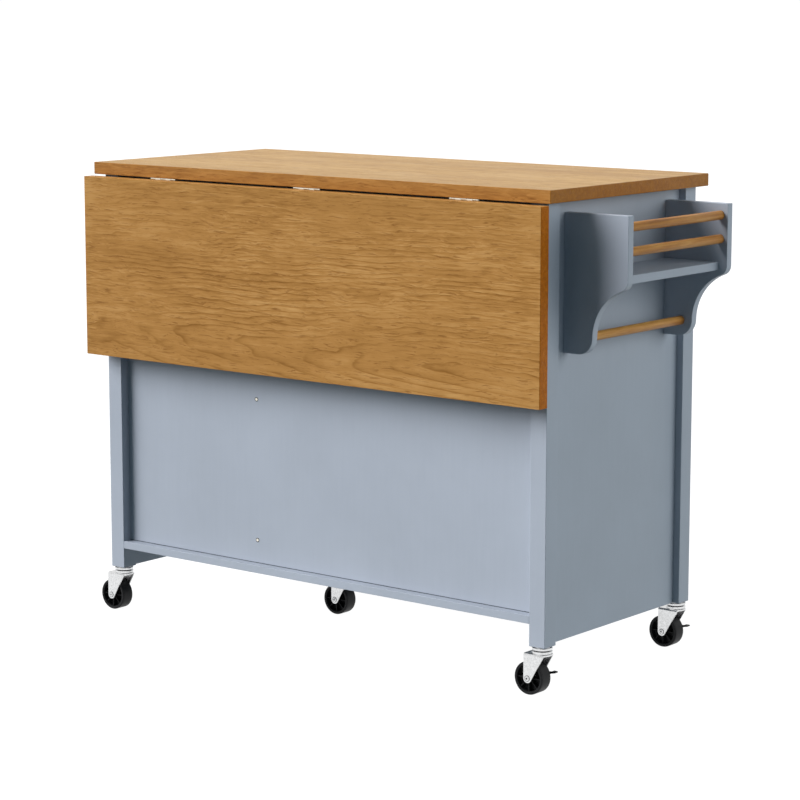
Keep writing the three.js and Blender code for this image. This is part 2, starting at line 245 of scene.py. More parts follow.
def oak(name, palette, ends, across, depth, tree_rings, span, faces, gloss, rough=0.46):
    """Flat-sawn oak with its grain along X. palette and ends are each a dark, a middle and a light
    colour. across and depth name the axes of the wide face. tree_rings gives where the log's
    centre runs (its place across, its depth and its slope along X), the width of a year's ring,
    how far the rings sway, the strength of their lines and of the fibres, and the two distances
    from the centre between which the lines fade. span is the board's two ends, where the end
    grain shows. faces are two places across, between which the board's long edge turns darker."""
    material, tree, shader = new_material(name)
    point = object_point(tree)
    place = axes_of(tree, point)
    age, line = oak_figure(tree, point, place, across, depth, tree_rings)

    waved = shifted(tree, point, layer(tree, point, (9, 22, 22)), 12 * MM)
    fibre = layer(tree, waved, (17, 270, 270), 3.0, 0.62)
    streak = layer(tree, waved, (5, 85, 85), 4.0, 0.6, (4, 1, 7))
    band = layer(tree, point, (1.1, 11, 11), 3.0, 0.55, (8, 3, 1))
    mottle = layer(tree, point, (14, 26, 26), 3.0, 0.6, (2, 6, 4))
    busy = remap(tree, layer(tree, point, (2, 8, 8), offset=(3, 9, 2)), 0.40, 0.58, 0.25, 1.0)
    pore = layer(tree, waved, (26, 360, 360), 3.0, 0.6, (1, 2, 9))
    fewer_when_late = remap(tree, age, 0.0, 1.0, 1.0, 0.35)
    pores = product(tree, remap(tree, pore, 0.55, 0.66, 0.0, 1.0), fewer_when_late, clamp=True)

    tone = total(
        tree, 0.53,
        product(tree, line, -tree_rings["line"]),
        product(tree, swing(tree, fibre, tree_rings["fibre"]), busy),
        swing(tree, streak, 0.10),
        swing(tree, band, 0.15),
        swing(tree, mottle, 0.09),
    )
    colour = ramp(tree, tone, even_stops(palette))
    colour = mixed(tree, "MULTIPLY", product(tree, pores, 0.8), colour, (0.52, 0.42, 0.32))
    # The board's long edge face is darkened by a multiply: painted shade, so it sits darker than the lit
    # wide face.
    edge = remap(tree, place[across], *faces, 0.0, 1.0)
    colour = mixed(tree, "MULTIPLY", edge, colour, (0.92, 0.73, 0.60))
    at_end, end_colour = end_grain(tree, point, place, span, ends)

    put(tree, shader.inputs["Base Color"], mixed(tree, "MIX", at_end, colour, end_colour))
    put(tree, shader.inputs["Roughness"], remap(tree, streak, 0.25, 0.75, rough + 0.08, rough - 0.05))
    shader.inputs["Specular IOR Level"].default_value = gloss
    shader.inputs["Specular Tint"].default_value = (1.0, 0.75, 0.40, 1.0)
    bumped(tree, shader, [(tone, 0.3, 0.8 * MM), (product(tree, pores, -1.0), 0.5, 0.6 * MM)])
    return material


def painted(name, colour, rough=0.44):
    """Satin paint on board: a fine roller texture, soft clouds and faint long brush lines."""
    material, tree, shader = new_material(name)
    point = object_point(tree)
    cloud = noise(tree, point, 4.0, 3.0, 0.55)
    roller = noise(tree, point, 520.0, 2.0, 0.5)
    brush = layer(tree, point, (140, 140, 9), 3.0, 0.55)
    grime = noise(tree, point, 34.0, 5.0, 0.65)
    deep = tuple(c * 0.955 for c in colour)
    pale = tuple(min(1.0, c * 1.045) for c in colour)
    base = mixed(tree, "MIX", remap(tree, cloud, 0.3, 0.7, 0.0, 1.0), deep, pale)
    base = mixed(tree, "MULTIPLY", remap(tree, brush, 0.35, 0.75, 0.0, 0.11), base, (0.80, 0.82, 0.86))
    base = mixed(tree, "MULTIPLY", remap(tree, grime, 0.5, 0.8, 0.0, 0.10), base, (0.82, 0.80, 0.78))
    put(tree, shader.inputs["Base Color"], base)
    put(tree, shader.inputs["Roughness"], remap(tree, cloud, 0.25, 0.75, rough - 0.04, rough + 0.06))
    shader.inputs["Specular IOR Level"].default_value = 0.32
    bumped(tree, shader, [(roller, 0.09, 0.25 * MM), (brush, 0.05, 0.3 * MM)])
    return material


def plated(name, colour, rough=0.3, spangle=0.06):
    """Plated steel: an uneven metal with crystal patches and fine drawn lines."""
    material, tree, shader = new_material(name)
    point = object_point(tree)
    patch = noise(tree, point, 260.0, 3.0, 0.6)
    grain = noise(tree, point, 1100.0, 2.0)
    line = layer(tree, point, (1600, 1600, 180))
    low = tuple(c * (1 - spangle * 3) for c in colour)
    tone = total(tree, remap(tree, patch, 0.3, 0.7, 0.0, 1.0), swing(tree, grain, 0.3), clamp=True)
    put(tree, shader.inputs["Base Color"], mixed(tree, "MIX", tone, low, colour))
    put(tree, shader.inputs["Roughness"], remap(tree, patch, 0.25, 0.75, rough - spangle, rough + spangle))
    shader.inputs["Metallic"].default_value = 1.0
    bumped(tree, shader, [(line, 0.06, 0.1 * MM), (patch, 0.05, 0.2 * MM)])
    return material


def moulded(name, colour, rough=0.4, dusty=0.0, gloss=0.3):
    """Moulded plastic or rubber: a fine spark-eroded grain, and floor dust where it rolls."""
    material, tree, shader = new_material(name)
    point = object_point(tree)
    grain = noise(tree, point, 1500.0, 2.0)
    scuff = noise(tree, point, 130.0, 4.0, 0.65)
    grey = tuple(min(1.0, c + 0.035) for c in colour)
    dust = remap(tree, scuff, 0.48, 0.75, 0.0, 0.25 + dusty)
    put(tree, shader.inputs["Base Color"], mixed(tree, "MIX", dust, colour, grey))
    roughest = rough + 0.1 + dusty * 0.3
    put(tree, shader.inputs["Roughness"], remap(tree, scuff, 0.3, 0.7, rough - 0.06, roughest))
    shader.inputs["Specular IOR Level"].default_value = gloss
    bumped(tree, shader, [(grain, 0.12, 0.12 * MM)])
    return material


def grained(name, stops, along, fine, coarse, rough):
    """Straight-grained wood along Y: streaks, slow bands and short pores. along, fine and coarse
    are waves per metre along the grain, across it in the streaks, and across it in the bands."""
    material, tree, shader = new_material(name)
    point = object_point(tree)
    streak = layer(tree, point, (fine, along, fine), 4.0, 0.6)
    band = layer(tree, point, (coarse, along, coarse), 3.0, 0.6)
    pore = layer(tree, point, (fine * 4, along * 6, fine * 4))
    tone = total(tree, remap(tree, streak, 0.3, 0.7, 0.15, 0.65), remap(tree, band, 0.3, 0.7, -0.15, 0.35))
    colour = ramp(tree, tone, stops)
    colour = mixed(tree, "MULTIPLY", remap(tree, pore, 0.6, 0.7, 0.0, 0.35), colour, (0.55, 0.42, 0.30))
    put(tree, shader.inputs["Base Color"], colour)
    put(tree, shader.inputs["Roughness"], remap(tree, streak, 0.2, 0.8, rough, rough + 0.14))
    shader.inputs["Specular IOR Level"].default_value = 0.22
    bumped(tree, shader, [(streak, 0.12, 0.3 * MM), (pore, -0.1, 0.2 * MM)])
    return material


PAINT_COLOUR = (0.390, 0.422, 0.487)
OAK_LEAF = ((0.250, 0.108, 0.023), (0.422, 0.206, 0.058), (0.610, 0.342, 0.124))
OAK_TOP = ((0.258, 0.123, 0.031), (0.396, 0.219, 0.062), (0.550, 0.332, 0.118))
OAK_TOP_ENDS = ((0.200, 0.062, 0.004), (0.310, 0.105, 0.006), (0.420, 0.156, 0.012))
OAK_LEAF_ENDS = ((0.310, 0.078, 0.003), (0.470, 0.128, 0.004), (0.640, 0.185, 0.010))
DOWEL = [(0.0, (0.24, 0.080, 0.012)), (0.45, (0.46, 0.185, 0.034)), (1.0, (0.72, 0.38, 0.11))]
BIRCH = [(0.0, (0.42, 0.28, 0.15)), (0.5, (0.60, 0.43, 0.25)), (1.0, (0.74, 0.58, 0.38))]

leaf_low, leaf_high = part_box("drop_leaf")
top_low, top_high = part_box("worktop")

TOP_RINGS = {
    "across": -50 * MM, "depth": 820 * MM, "slope": 0.03, "ring": 11 * MM,
    "sway": 50 * MM, "line": 0.42, "fibre": 0.26, "fade": (2.0, 3.0),
}
# The two spans below darken each board's long edge face: painted shade.
TOP_EDGE_SHADE = (top_high.y - 0.9 * MM, top_high.y - 0.2 * MM)
LEAF_RINGS = {
    "across": leaf_low.z + 45 * MM, "depth": leaf_high.y - 60 * MM, "slope": 0.07, "ring": 10 * MM,
    "sway": 30 * MM, "line": 0.80, "fibre": 0.21, "fade": (0.20, 0.29),
}
LEAF_EDGE_SHADE = (leaf_low.z + 0.9 * MM, leaf_low.z + 0.2 * MM)

MATERIALS = {
    "oak_worktop": oak("oak_worktop", OAK_TOP, OAK_TOP_ENDS, "Y", "Z", TOP_RINGS,
                       (top_low.x, top_high.x), TOP_EDGE_SHADE, 0.42),
    "oak_leaf": oak("oak_leaf", OAK_LEAF, OAK_LEAF_ENDS, "Z", "Y", LEAF_RINGS,
                    (leaf_low.x, leaf_high.x), LEAF_EDGE_SHADE, 0.14),
    "paint": painted("paint", PAINT_COLOUR),
    "joint_shadow": painted("joint_shadow", (0.085, 0.100, 0.120)),
    "birch": grained("birch", BIRCH, 5, 90, 9, 0.42),
    "dowel": grained("dowel", DOWEL, 7, 260, 40, 0.36),
    "knob_nickel": plated("knob_nickel", (0.66, 0.65, 0.62), 0.28, 0.03),
    "hinge_steel": plated("hinge_steel", (0.95, 0.91, 0.80), 0.36, 0.04),
    "support_steel": plated("support_steel", (0.62, 0.63, 0.64), 0.34),
    "zinc": plated("zinc", (0.80, 0.805, 0.81), 0.30, 0.09),
    "wheel_plastic": moulded("wheel_plastic", (0.008, 0.008, 0.009), 0.44, 0.02, 0.16),
    "lever_plastic": moulded("lever_plastic", (0.012, 0.012, 0.013), 0.42),
    # Dark steel: painted shade in the gap between the caster's races and in the back panel screws'
    # countersinks; also the dark rings and discs at the axle ends.
    "dark_steel": plated("dark_steel", (0.06, 0.06, 0.065), 0.45),
}


# ---- mesh helpers ----

def make_piece(name, mesh, body, slot, material=None, replaces=(), recalculate=True):
    """A finished piece from a bmesh whose points are already in the row frame."""
    if recalculate:
        bmesh.ops.recalc_face_normals(mesh, faces=mesh.faces)
    data = bpy.data.meshes.new(name)
    mesh.to_mesh(data)
    mesh.free()
    piece = bpy.data.objects.new(name, data)
    bpy.context.scene.collection.objects.link(piece)
    data.materials.append(MATERIALS[material or slot])
    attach(piece, body)
    if replaces:
        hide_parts(*replaces)
    return piece


def shade(piece, angle=35):
    """Smooth shading except across edges sharper than angle."""
    limit = math.radians(angle)
    data = piece.data
    mesh = bmesh.new()
    mesh.from_mesh(data)
    for face in mesh.faces:
        face.smooth = True
    for edge in mesh.edges:
        edge.smooth = len(edge.link_faces) != 2 or edge.calc_face_angle(math.pi) < limit
    mesh.to_mesh(data)
    mesh.free()
    return piece


def soften(piece, width, segments=3, angle=35):
    """A small rounded edge on a piece, with the flat faces kept flat to the light."""
    made = piece.modifiers.new("edge", "BEVEL")
    made.width = width
    made.segments = segments
    made.limit_method = "ANGLE"
    made.angle_limit = math.radians(angle)
    made.use_clamp_overlap = True
    for polygon in piece.data.polygons:
        polygon.use_smooth = True
    weighted = piece.modifiers.new("flats", "WEIGHTED_NORMAL")
    weighted.weight = 100
    return piece


def add_box(mesh, low, high):
    """A box between two corners, in mesh."""
    low, high = Vector(low), Vector(high)
    middle, size = (low + high) / 2, high - low
    matrix = Matrix.Translation(middle) @ Matrix.Diagonal((*size, 1.0))
    bmesh.ops.create_cube(mesh, size=1.0, matrix=matrix)


TURNS = {"Z": Matrix.Identity(3), "Y": Matrix.Rotation(math.radians(-90), 3, "X"),
         "X": Matrix.Rotation(math.radians(90), 3, "Y")}


def add_turned(mesh, profile, at, axis="Z", segments=48, closed=False):
    """Turn a profile of (radius, distance along the axis) about an axis through at."""
    turn = TURNS[axis]
    at = Vector(at)
    rings = []
    for radius, along in profile:
        if radius < 1e-7:
            rings.append([mesh.verts.new(at + turn @ Vector((0, 0, along)))])
            continue
        angles = [2 * math.pi * i / segments for i in range(segments)]
        points = [Vector((radius * math.cos(a), radius * math.sin(a), along)) for a in angles]
        rings.append([mesh.verts.new(at + turn @ point) for point in points])
    pairs = list(zip(rings, rings[1:]))
    if closed:
        pairs.append((rings[-1], rings[0]))
    for lower, upper in pairs:
        for i in range(segments):
            j = (i + 1) % segments
            if len(lower) == 1:
                mesh.faces.new((lower[0], upper[j], upper[i]))
            elif len(upper) == 1:
                mesh.faces.new((lower[i], lower[j], upper[0]))
            else:
                mesh.faces.new((lower[i], lower[j], upper[j], upper[i]))


def add_pair(mesh, profile, middle, reach, axis, segments, closed=False):
    """Turn a profile on both sides of a middle point, its distances counted outwards from reach."""
    along = Vector([float(letter == axis) for letter in "XYZ"])
    for sign in (-1, 1):
        ends = [(radius, sign * distance) for radius, distance in profile]
        add_turned(mesh, ends, Vector(middle) + along * (sign * reach), axis, segments, closed)


def rounded(low_radius, start, high_radius, end, edge, steps=4):
    """The outer profile of a turned disc between two faces, with both of its rims rounded."""
    points = [(low_radius, start)]
    corner = arc((high_radius - edge, start + edge), edge, -90, 0, steps)
    points += corner + arc((high_radius - edge, end - edge), edge, 0, 90, steps)
    return points + [(low_radius, end)]


def add_plate(mesh, outline, axis, start, end):
    """Extrude a closed outline of 2D points along an axis, from start to end.
    The outline's two numbers are the other two axes in X, Y, Z order."""
    def point(pair, along):
        values = list(pair)
        values.insert("XYZ".index(axis), along)
        return Vector(values)
    first = [mesh.verts.new(point(pair, start)) for pair in outline]
    second = [mesh.verts.new(point(pair, end)) for pair in outline]
    mesh.faces.new(first)
    mesh.faces.new(list(reversed(second)))
    count = len(outline)
    for i in range(count):
        j = (i + 1) % count
        mesh.faces.new((first[j], first[i], second[i], second[j]))


def arc(centre, radius, start, end, steps):
    """Points on an arc, both ends included, angles in degrees."""
    points = []
    for i in range(steps + 1):
        a = math.radians(start + (end - start) * i / steps)
        points.append((centre[0] + radius * math.cos(a), centre[1] + radius * math.sin(a)))
    return points


def rounded_rectangle(low, high, radius, steps=5):
    """A rectangle's outline with round corners."""
    corners = [(high[0] - radius, high[1] - radius, 0), (low[0] + radius, high[1] - radius, 90),
               (low[0] + radius, low[1] + radius, 180), (high[0] - radius, low[1] + radius, 270)]
    points = []
    for x, y, start in corners:
        points += arc((x, y), radius, start, start + 90, steps)
    return points


def in_mm(profile):
    """A profile written in millimetres, in metres."""
    return [(radius * MM, height * MM) for radius, height in profile]


def add_screw(mesh, at, axis, facing, radius=3.2 * MM, dome=1.1 * MM):
    """A domed screw head on a surface, with a recess in its middle, facing along an axis either way."""
    profile = [(0.0, -0.3 * MM), (radius, -0.3 * MM), (radius, 0.15 * MM)]
    profile += [(radius * math.cos(a), 0.15 * MM + dome * math.sin(a)) for a in (0.35, 0.75, 1.1)]
    profile += [(radius * 0.34, dome * 0.95), (radius * 0.22, dome * 0.35), (0.0, dome * 0.3)]
    add_turned(mesh, [(r, facing * z) for r, z in profile], at, axis, 20)


def refine_boards(names, slot, width):
    """The board nodes stay: their shared corners are welded, their edges are rounded."""
    for name in names:
        node = NODES[name]
        custom = node.data.attributes.get("custom_normal")
        if custom:
            node.data.attributes.remove(custom)
        weld = node.modifiers.new("weld", "WELD")
        weld.merge_threshold = 1e-5
        soften(node, width)
        node.data.materials.clear()
        node.data.materials.append(MATERIALS[slot])


def centre_of(node):
    low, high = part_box(node)
    return (low + high) / 2


# ---- boards ----

refine_boards(["worktop"], "oak_worktop", 1.4 * MM)
refine_boards(["drop_leaf"], "oak_leaf", 1.4 * MM)
refine_boards([f"post_{corner}" for corner in CORNERS], "paint", 1.0 * MM)
refine_boards(["end_panel_left", "end_panel_right", "back_panel", "bottom_board", "divider",
               "front_rail", "cabinet_shelf", "centre_block", "rack_shelf"], "paint", 0.8 * MM)
refine_boards([f"drawer_box_{level}" for level in LEVELS], "birch", 0.6 * MM)


# ---- doors and drawer fronts: two stiles, two rails and a sunk field ----

FRONT = {"frame": 52 * MM, "sunk": 6 * MM, "edge": 0.9 * MM}


def framed_front(name, body):
    low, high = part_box(name)
    left, right = low.x + FRONT["frame"], high.x - FRONT["frame"]
    bottom, top = low.z + FRONT["frame"], high.z - FRONT["frame"]
    mesh = bmesh.new()
    add_box(mesh, low, (left, high.y, high.z))
    add_box(mesh, (right, low.y, low.z), high)
    add_box(mesh, (left, low.y, low.z), (right, high.y, bottom))
    add_box(mesh, (left, low.y, top), (right, high.y, high.z))
    add_box(mesh, (left, low.y + FRONT["sunk"], bottom), (right, high.y, top))
    piece = make_piece(f"{name}_framed", mesh, body, "paint", replaces=[name])
    return soften(piece, FRONT["edge"])


def turned_knob(name, body):
    """A mushroom knob: a waisted stem, a round head and a low crown, as shares of its size."""
    low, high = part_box(name)
    middle = centre_of(name)
    radius, length = (high.x - low.x) / 2, high.y - low.y
    stem = [(0.70, 0.0), (0.70, 0.05), (0.56, 0.11), (0.42, 0.22), (0.40, 0.36), (0.47, 0.48)]
    head = [(0.62 + 0.38 * math.sin(a), 0.735 - 0.175 * math.cos(a))
            for a in (math.radians(step) for step in range(20, 170, 15))]
    crown = [(0.52, 0.955), (0.30, 0.99), (0.0, 1.0)]
    profile = [(radius * r, -length * y) for r, y in [(0.0, 0.0)] + stem + head + crown]
    mesh = bmesh.new()
    add_turned(mesh, profile, (middle.x, high.y, middle.z), "Y")
    return shade(make_piece(f"{name}_turned", mesh, body, "knob_nickel", replaces=[name]))


for side in SIDES:
    framed_front(f"door_{side}", f"door_{side}_body")
    turned_knob(f"door_knob_{side}", f"door_{side}_body")
for level in LEVELS:
    framed_front(f"drawer_front_{level}", f"drawer_{level}")
    turned_knob(f"drawer_knob_{level}", f"drawer_{level}")


# ---- rack: two shaped brackets and three dowels ----

BRACKET = {"nose": 19 * MM, "cove": 96 * MM, "foot": 30 * MM, "neck": 62.5 * MM, "edge": 1.0 * MM}
DOWEL_EDGE = 0.8 * MM


def bracket_outline(low, high):
    """Reach against height: a rounded nose, a long cove and a quarter-round foot."""
    nose, cove, foot, neck = (BRACKET[key] for key in ("nose", "cove", "foot", "neck"))
    reach = high.x - low.x
    foot_z = low.z + foot
    nose_u, cove_u = reach - nose, neck + cove
    nose_z = foot_z + math.sqrt((cove + nose) ** 2 - (cove_u - nose_u) ** 2)
    touch = math.degrees(math.atan2(nose_z - foot_z, nose_u - cove_u))
    outline = [(0.0, low.z), (0.0, high.z), (reach, high.z)]
    outline += arc((nose_u, nose_z), nose, 0, touch - 180, 12)
    outline += arc((cove_u, foot_z), cove, touch, 180, 20)[1:]
    outline += arc((neck - foot, foot_z), foot, 0, -90, 12)[1:]
    return [(high.x - u, z) for u, z in outline]


for side in ("front", "rear"):
    name = f"rack_bracket_{side}"
    low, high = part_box(name)
    mesh = bmesh.new()
    add_plate(mesh, bracket_outline(low, high), "Y", low.y, high.y)
    soften(make_piece(f"{name}_board", mesh, "cart", "paint", replaces=[name]), BRACKET["edge"])

for name in ("rack_rail_upper", "rack_rail_lower", "towel_bar"):
    low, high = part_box(name)
    middle, radius = centre_of(name), (high.z - low.z) / 2
    mesh = bmesh.new()
    profile = rounded(0.0, low.y, radius, high.y, DOWEL_EDGE)
    add_turned(mesh, profile, (middle.x, 0.0, middle.z), "Y", 40)
    shade(make_piece(f"{name}_dowel", mesh, "cart", "dowel", replaces=[name]))


# ---- drop leaf's hinges and supports ----

HINGE = {"edge": 0.15 * MM, "plate": 1.4 * MM, "from_rim": 9 * MM, "screws": (0.16, 0.5, 0.84),
         "head": 2.6 * MM, "dome": 0.7 * MM}


def leaf_hinges():
    """The hinge plates keep their solids, and get three screws each."""
    for hinge in HINGES:
        for kind, body in (("fixed", "cart"), ("moving", "leaf")):
            name = f"leaf_hinge_{kind}_{hinge}"
            low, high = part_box(name)
            refine_boards([name], "hinge_steel", HINGE["edge"])
            mesh = bmesh.new()
            for share in HINGE["screws"]:
                x = low.x + (high.x - low.x) * share
                if kind == "fixed":
                    at, axis = (x, low.y + HINGE["from_rim"], high.z - HINGE["plate"]), "Z"
                else:
                    at, axis = (x, high.y - HINGE["plate"], low.z + HINGE["from_rim"]), "Y"
                add_screw(mesh, at, axis, -1, HINGE["head"], HINGE["dome"])
            shade(make_piece(f"hinge_screws_{kind}_{hinge}", mesh, body, "hinge_steel"))


SUPPORT = {"half": 18 * MM, "tall": 40 * MM, "thick": 3 * MM, "corner": 4 * MM, "ear": 3 * MM,
           "slack": 0.6 * MM, "pin": 3 * MM, "pin_edge": 0.7 * MM, "screw": 30 * MM}


def leaf_support(side):
    """A bracket plate with two ears on the back panel, its pin and screws, and the strut."""
    base_low, base_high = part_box(f"leaf_support_base_{side}")
    bar_low, bar_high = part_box(f"leaf_support_strut_{side}")
    pin = Vector(JOINTS[f"strut_{side}_swing"]["pos_m"])
    radius = (bar_high.y - bar_low.y) / 2
    width = (bar_high.x - bar_low.x) / 2

    mesh = bmesh.new()
    plate = rounded_rectangle((pin.x - SUPPORT["half"], pin.z - SUPPORT["tall"]),
                              (pin.x + SUPPORT["half"], pin.z + SUPPORT["tall"]), SUPPORT["corner"])
    add_plate(mesh, plate, "Y", base_low.y, base_low.y + SUPPORT["thick"])
    reach = radius + SUPPORT["slack"]
    root = base_low.y + SUPPORT["thick"] / 3
    ear = [(root, pin.z + reach), (root, pin.z - reach)]
    ear += arc((pin.y, pin.z), reach, -90, 90, 12)
    for sign in (-1, 1):
        inner = pin.x + sign * (width + SUPPORT["slack"])
        add_plate(mesh, ear, "X", *sorted((inner, inner + sign * SUPPORT["ear"])))
    piece = make_piece(f"leaf_support_bracket_{side}", mesh, "cart", "support_steel",
                       replaces=[f"leaf_support_base_{side}"])
    soften(piece, 0.5 * MM)

    mesh = bmesh.new()
    pin_profile = rounded(0.0, base_low.x, SUPPORT["pin"], base_high.x, SUPPORT["pin_edge"])
    add_turned(mesh, pin_profile, (0.0, pin.y, pin.z), "X", 24)
    for z in (-SUPPORT["screw"], SUPPORT["screw"]):
        add_screw(mesh, (pin.x, base_low.y + SUPPORT["thick"], pin.z + z), "Y", 1)
    shade(make_piece(f"leaf_support_pin_{side}", mesh, "cart", "support_steel"))

    mesh = bmesh.new()
    outline = arc((pin.y, pin.z), radius, 0, 180, 16)
    outline += arc((pin.y, bar_low.z + radius), radius, 180, 360, 16)
    add_plate(mesh, outline, "X", bar_low.x, bar_high.x)
    piece = make_piece(f"leaf_support_bar_{side}", mesh, f"strut_{side}", "support_steel",
                       replaces=[f"leaf_support_strut_{side}"])
    soften(piece, 1.0 * MM)


leaf_hinges()
for side in SIDES:
    leaf_support(side)


# ---- casters ----

FORK = {"sheet": 2.5 * MM, "back": 12.7 * MM, "skirt": 5 * MM, "front": 29.5 * MM, "crown": 78 * MM,
        "boss": 8.5 * MM, "bend": 4 * MM, "axle_stands": 2 * MM, "across": 16}
RACE = {"top": 85 * MM, "groove": 1.9 * MM, "collar": 15 * MM, "rim": 1.1 * MM, "bore": 4.4 * MM}
STEM = {"radius": 4 * MM, "head": 7 * MM, "tall": 4 * MM, "chamfer": 0.6 * MM, "washer": 1.6 * MM}
AXLE = 3.8 * MM
# Millimetres from the axle's centre line, and outwards from the fork's leg.
AXLE_CAP = in_mm([(0, -0.5), (5, -0.5), (5, 0.5), (4.1, 0.7), (3.9, 1.5), (3.2, 1.95), (1.9, 1.9),
                  (1.6, 0.9), (0, 0.8)])
CAP_DARK_RING = in_mm([(4.9, 0.1), (5.7, 0.1), (5.7, 0.35), (4.9, 0.55)])
CAP_DARK_WELL = in_mm([(0, 0.7), (1.75, 0.7), (1.75, 1.0), (0, 0.95)])
WHEEL = {"bore": 4.2 * MM, "hub": 9 * MM, "web": 2.6 * MM, "rim": 25.3 * MM, "edge": 1.6 * MM,
         "narrower": 0.2 * MM, "ribs": 8, "rib": 1.5 * MM, "rib_sunk": 2.6 * MM}
LEVER = {"hub": 8 * MM, "rise": 9 * MM, "blade": 3 * MM, "foot": 9 * MM, "arm": 2.5 * MM}


def leg_span(z, axle):
    """How far a fork leg reaches behind and ahead of the swivel axis at a height."""
    boss, back, shoulder = FORK["boss"], -FORK["back"], FORK["crown"] - FORK["skirt"]
    away = Vector((back - axle[0], shoulder - axle[1]))
    tangent = math.atan2(away.y, away.x) + math.acos(boss / away.length)
    touch = (axle[0] + boss * math.cos(tangent), axle[1] + boss * math.sin(tangent))
    round_part = math.sqrt(max(boss ** 2 - (z - axle[1]) ** 2, 0.0))
    front = FORK["front"] if z >= axle[1] else axle[0] + round_part
    if z >= shoulder:
        return back, front
    if z >= touch[1]:
        share = (z - touch[1]) / (shoulder - touch[1])
        return touch[0] + (back - touch[0]) * share, front
    return axle[0] - round_part, front


def fork_rows(axle, outer, race):
    """Cross lines of the bent fork sheet, from one leg's foot over the crown to the other's:
    each is its place across, its height, and how far it reaches back and ahead."""
    crown, bend = FORK["crown"], FORK["bend"]
    foot = [axle[1] - FORK["boss"] * math.cos(math.radians(a)) for a in (8, 20, 34, 48, 62, 76)]
    heights = foot + [axle[1] + (crown - bend - axle[1]) * i / 14 for i in range(15)]
    leg = [(outer, z, *leg_span(z, axle)) for z in heights]
    fold = [(outer - bend + y, z) for y, z in arc((0.0, crown - bend), bend, 0, 90, 6)][1:]
    top = [(y, crown) for y in ((outer - bend) * (1 - i / 6) for i in range(1, 7))]
    for y, z in fold + top:
        back = max(FORK["back"], math.sqrt(max(race ** 2 - y ** 2, 0.0)))
        leg.append((y, z, -back, FORK["front"]))
    return leg + [(-y, z, back, front) for y, z, back, front in reversed(leg[:-1])]


def race_radius(unit):
    low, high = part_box(f"caster_mount_{unit}")
    return (high.x - low.x) / 2


def fork_sheet(unit, swivel, axle, outer):
    """The bent sheet, from one leg over the crown to the other."""
    local_axle = (axle.x - swivel.x, axle.z)
    across = FORK["across"]
    mesh = bmesh.new()
    lines = []
    for y, z, back, front in fork_rows(local_axle, outer, race_radius(unit)):
        places = [swivel.x + back + (front - back) * i / across for i in range(across + 1)]
        lines.append([mesh.verts.new((x, swivel.y + y, z)) for x in places])
    for first, second in zip(lines, lines[1:]):
        for i in range(across):
            mesh.faces.new((first[i], second[i], second[i + 1], first[i + 1]))
    piece = make_piece(f"caster_fork_sheet_{unit}", mesh, f"caster_{unit}", "zinc",
                       replaces=[f"caster_fork_{unit}"], recalculate=False)
    sheet = piece.modifiers.new("sheet", "SOLIDIFY")
    sheet.thickness = FORK["sheet"]
    sheet.offset = -1.0
    sheet.use_even_offset = True
    soften(piece, 0.5 * MM, 2, 50)


def lower_race(unit, swivel):
    """The dish on the fork's crown that holds the lower side of the balls."""
    race, crown, rim = race_radius(unit), FORK["crown"], RACE["rim"]
    top = RACE["top"] - RACE["groove"] / 2
    profile = [(RACE["bore"], crown - 1 * MM), (0.86 * race, crown - 1 * MM),
               (0.90 * race, crown + 0.6 * MM), (race, crown + 2.2 * MM)]
    profile += arc((race - rim, top - rim), rim, 0, 90, 4) + [(RACE["bore"], top)]
    mesh = bmesh.new()
    add_turned(mesh, profile, (swivel.x, swivel.y, 0.0), "Z", 56, closed=True)
    shade(make_piece(f"caster_race_lower_{unit}", mesh, f"caster_{unit}", "zinc"))


def caster_axle(unit, axle, outer):
    """The axle with its riveted ends, a dark ring around each end against the leg and a dark disc in each
    end's dimple.
    """
    mesh = bmesh.new()
    add_pair(mesh, AXLE_CAP, axle, outer, "Y", 28)
    add_turned(mesh, [(0.0, -outer), (AXLE, -outer), (AXLE, outer), (0.0, outer)], axle, "Y", 24)
    shade(make_piece(f"caster_axle_{unit}", mesh, f"caster_{unit}", "zinc"))

    mesh = bmesh.new()
    add_pair(mesh, CAP_DARK_RING, axle, outer, "Y", 28, closed=True)
    add_pair(mesh, CAP_DARK_WELL, axle, outer, "Y", 20)
    shade(make_piece(f"caster_axle_dark_{unit}", mesh, f"caster_{unit}", "zinc",
                     material="dark_steel"))


def caster_fork(unit, swivel, axle):
    low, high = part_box(f"caster_fork_{unit}")
    outer = min(swivel.y - low.y, high.y - swivel.y) - FORK["axle_stands"]
    fork_sheet(unit, swivel, axle, outer)
    lower_race(unit, swivel)
    caster_axle(unit, axle, outer)


def caster_mount(unit, swivel):
    """The stem with its riveted head, the upper race, its collar, and a dark ring in the gap between the
    races: painted shade.
    """
    low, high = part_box(f"caster_mount_{unit}")
    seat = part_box(f"post_{unit}" if unit in CORNERS else "centre_block")[0].z
    start = RACE["top"] + RACE["groove"] / 2
    end = seat - STEM["washer"]
    stem, head, collar = STEM["radius"], STEM["head"], RACE["collar"]
    head_top = low.z + STEM["tall"]
    profile = [(0.0, low.z), (head - STEM["chamfer"], low.z), (head, low.z + STEM["chamfer"]),
               (head, head_top), (stem, head_top), (stem, start)]
    profile += rounded(stem + 1 * MM, start, race_radius(unit), end, RACE["rim"])
    profile += [(collar, end), (collar, seat), (stem, seat), (stem, high.z), (0.0, high.z)]
    mesh = bmesh.new()
    add_turned(mesh, profile, (swivel.x, swivel.y, 0.0), "Z", 56)
    shade(make_piece(f"caster_stem_{unit}", mesh, "cart", "zinc", replaces=[f"caster_mount_{unit}"]))

    # A dark ring in the groove between the two races: painted shade.
    below = start - RACE["groove"]
    track = [(stem, below), (collar, below), (collar, start), (stem, start)]
    mesh = bmesh.new()
    add_turned(mesh, track, (swivel.x, swivel.y, 0.0), "Z", 48, closed=True)
    shade(make_piece(f"caster_race_gap_shade_{unit}", mesh, "cart", "zinc", material="dark_steel"))


